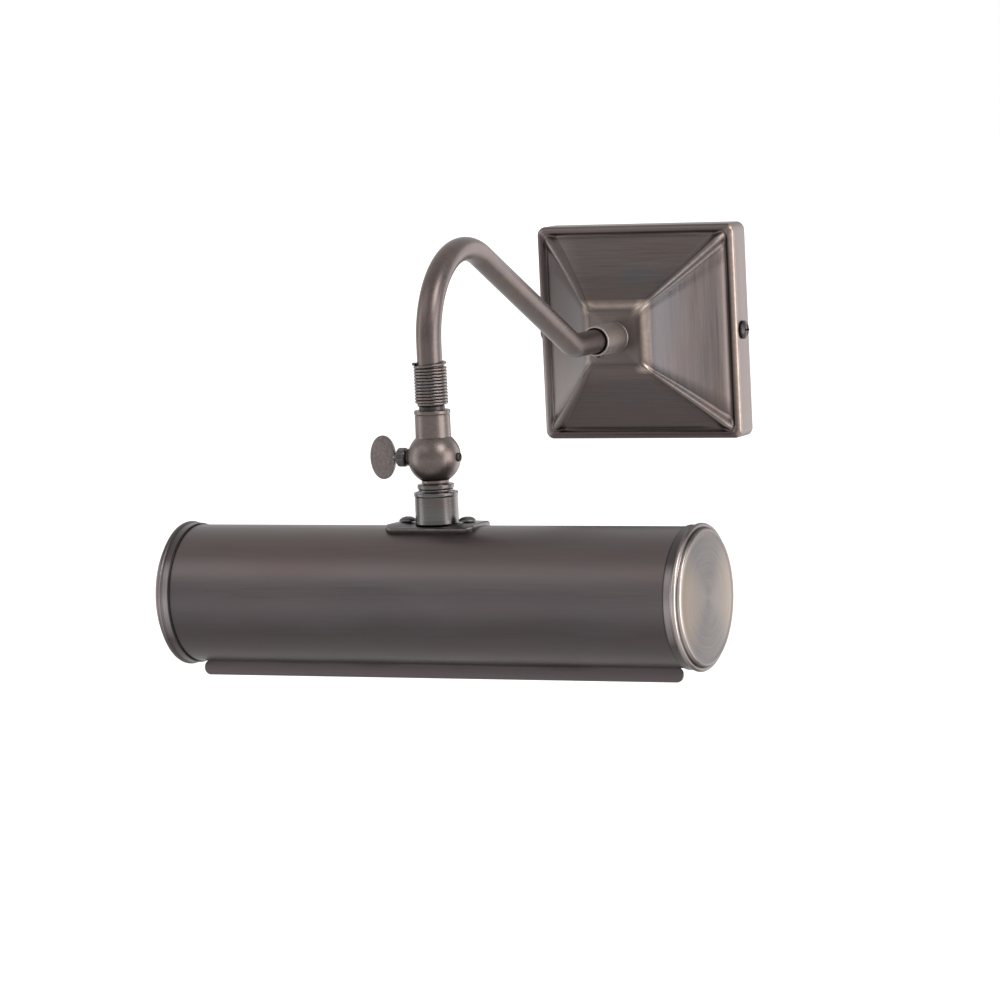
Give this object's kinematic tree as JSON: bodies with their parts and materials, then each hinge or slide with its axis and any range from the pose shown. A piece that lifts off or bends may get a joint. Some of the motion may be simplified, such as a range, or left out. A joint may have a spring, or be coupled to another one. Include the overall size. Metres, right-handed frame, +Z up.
{
  "type": "picture light",
  "caption": "Swan-neck wall picture light: square pressed plate, bent tube arm, clamped ball knuckle and slotted tubular shade.",
  "frame": {"origin": "centre of the wall bracket's back face, on the wall plane", "axes": "+Y into the wall, +X to the right as seen from the room, +Z up"},
  "size_m": [0.25, 0.2678, 0.1875],
  "materials": {
    "plate_bronze": "dark antique bronze, brushed, copper at the edges",
    "arm_bronze": "dark antique bronze, satin",
    "shade_bronze": "dark antique bronze, brushed along the tube, white inside",
    "cap_bronze": "dark antique bronze, spun",
    "knuckle_bronze": "dark antique bronze, turned and polished",
    "fastener_dark": "blackened steel",
    "zinc_steel": "zinc plated",
    "brass": "bare brass",
    "white_plastic": "moulded",
    "lead_brown": "insulation",
    "lead_blue": "insulation",
    "lead_green": "insulation",
    "flex_sheath": "sheath",
    "clear_glass": "clear",
    "filament": "drawn wire"
  },
  "bodies": {
    "plate": {"wall_bracket": "zinc_steel", "wall_plate": "plate_bronze", "side_screw_left": "fastener_dark", "side_screw_right": "fastener_dark", "earth_screw": "brass", "plate_collar": "arm_bronze", "collar_grub_screw": "fastener_dark", "collar_washer": "zinc_steel", "collar_nut": "brass", "terminal_block": "white_plastic", "terminal_screw_live": "brass", "terminal_screw_neutral": "brass", "terminal_screw_earth": "brass", "live_lead": "lead_brown", "neutral_lead": "lead_blue", "earth_lead": "lead_green"},
    "arm": {"arm_tube": "arm_bronze", "arm_flex": "flex_sheath", "swivel_stop_pin": "fastener_dark", "coil_spring": "arm_bronze"},
    "swivel": {"upper_knuckle": "knuckle_bronze"},
    "screw_washer": {"clamp_washer": "fastener_dark"},
    "clamp_screw": {"thumbscrew": "knuckle_bronze"},
    "head": {"lower_knuckle": "knuckle_bronze", "captive_nut": "fastener_dark", "stem_lock_nut": "knuckle_bronze", "stem_washer": "knuckle_bronze", "shade_socket": "knuckle_bronze", "saddle_plate": "knuckle_bronze", "saddle_screw_left": "fastener_dark", "saddle_screw_right": "fastener_dark", "saddle_nut_left": "zinc_steel", "saddle_nut_right": "zinc_steel", "shade_tube": "shade_bronze", "end_cap_left": "cap_bronze", "end_cap_right": "cap_bronze", "holder_strap": "zinc_steel", "holder_nut": "zinc_steel", "lampholder_body": "white_plastic", "lampholder_shell": "brass", "lampholder_contact": "brass", "head_flex": "flex_sheath", "lamp_cap": "brass", "lamp_glass": "clear_glass", "lamp_stem": "clear_glass", "lamp_filament": "filament"}
  },
  "joints": [
    {"name": "arm_level", "type": "hinge", "parent": "plate", "child": "arm", "pos_m": [0, -0.0633, 0], "axis": [0, 1, 0], "range_deg": [-15, 15]},
    {"name": "head_swivel", "type": "hinge", "parent": "arm", "child": "swivel", "pos_m": [0, -0.2363, 0], "axis": [0, 0, 1], "range_deg": [-145, 145]},
    {"name": "shade_tilt", "type": "hinge", "parent": "swivel", "child": "head", "pos_m": [0, -0.2363, -0.03485], "axis": [1, 0, 0], "range_deg": [-80, 80]},
    {"name": "screw_travel", "type": "slide", "parent": "swivel", "child": "screw_washer", "axis": [-1, 0, 0], "range_m": [0, 0.0014]},
    {"name": "screw_turn", "type": "hinge", "parent": "screw_washer", "child": "clamp_screw", "pos_m": [0, -0.2363, -0.03485], "axis": [-1, 0, 0], "range_deg": [0, 720]}
  ],
  "couplings": [
    {"joint": "screw_turn", "follows": "screw_travel", "rad_per_m": 8970}
  ]
}
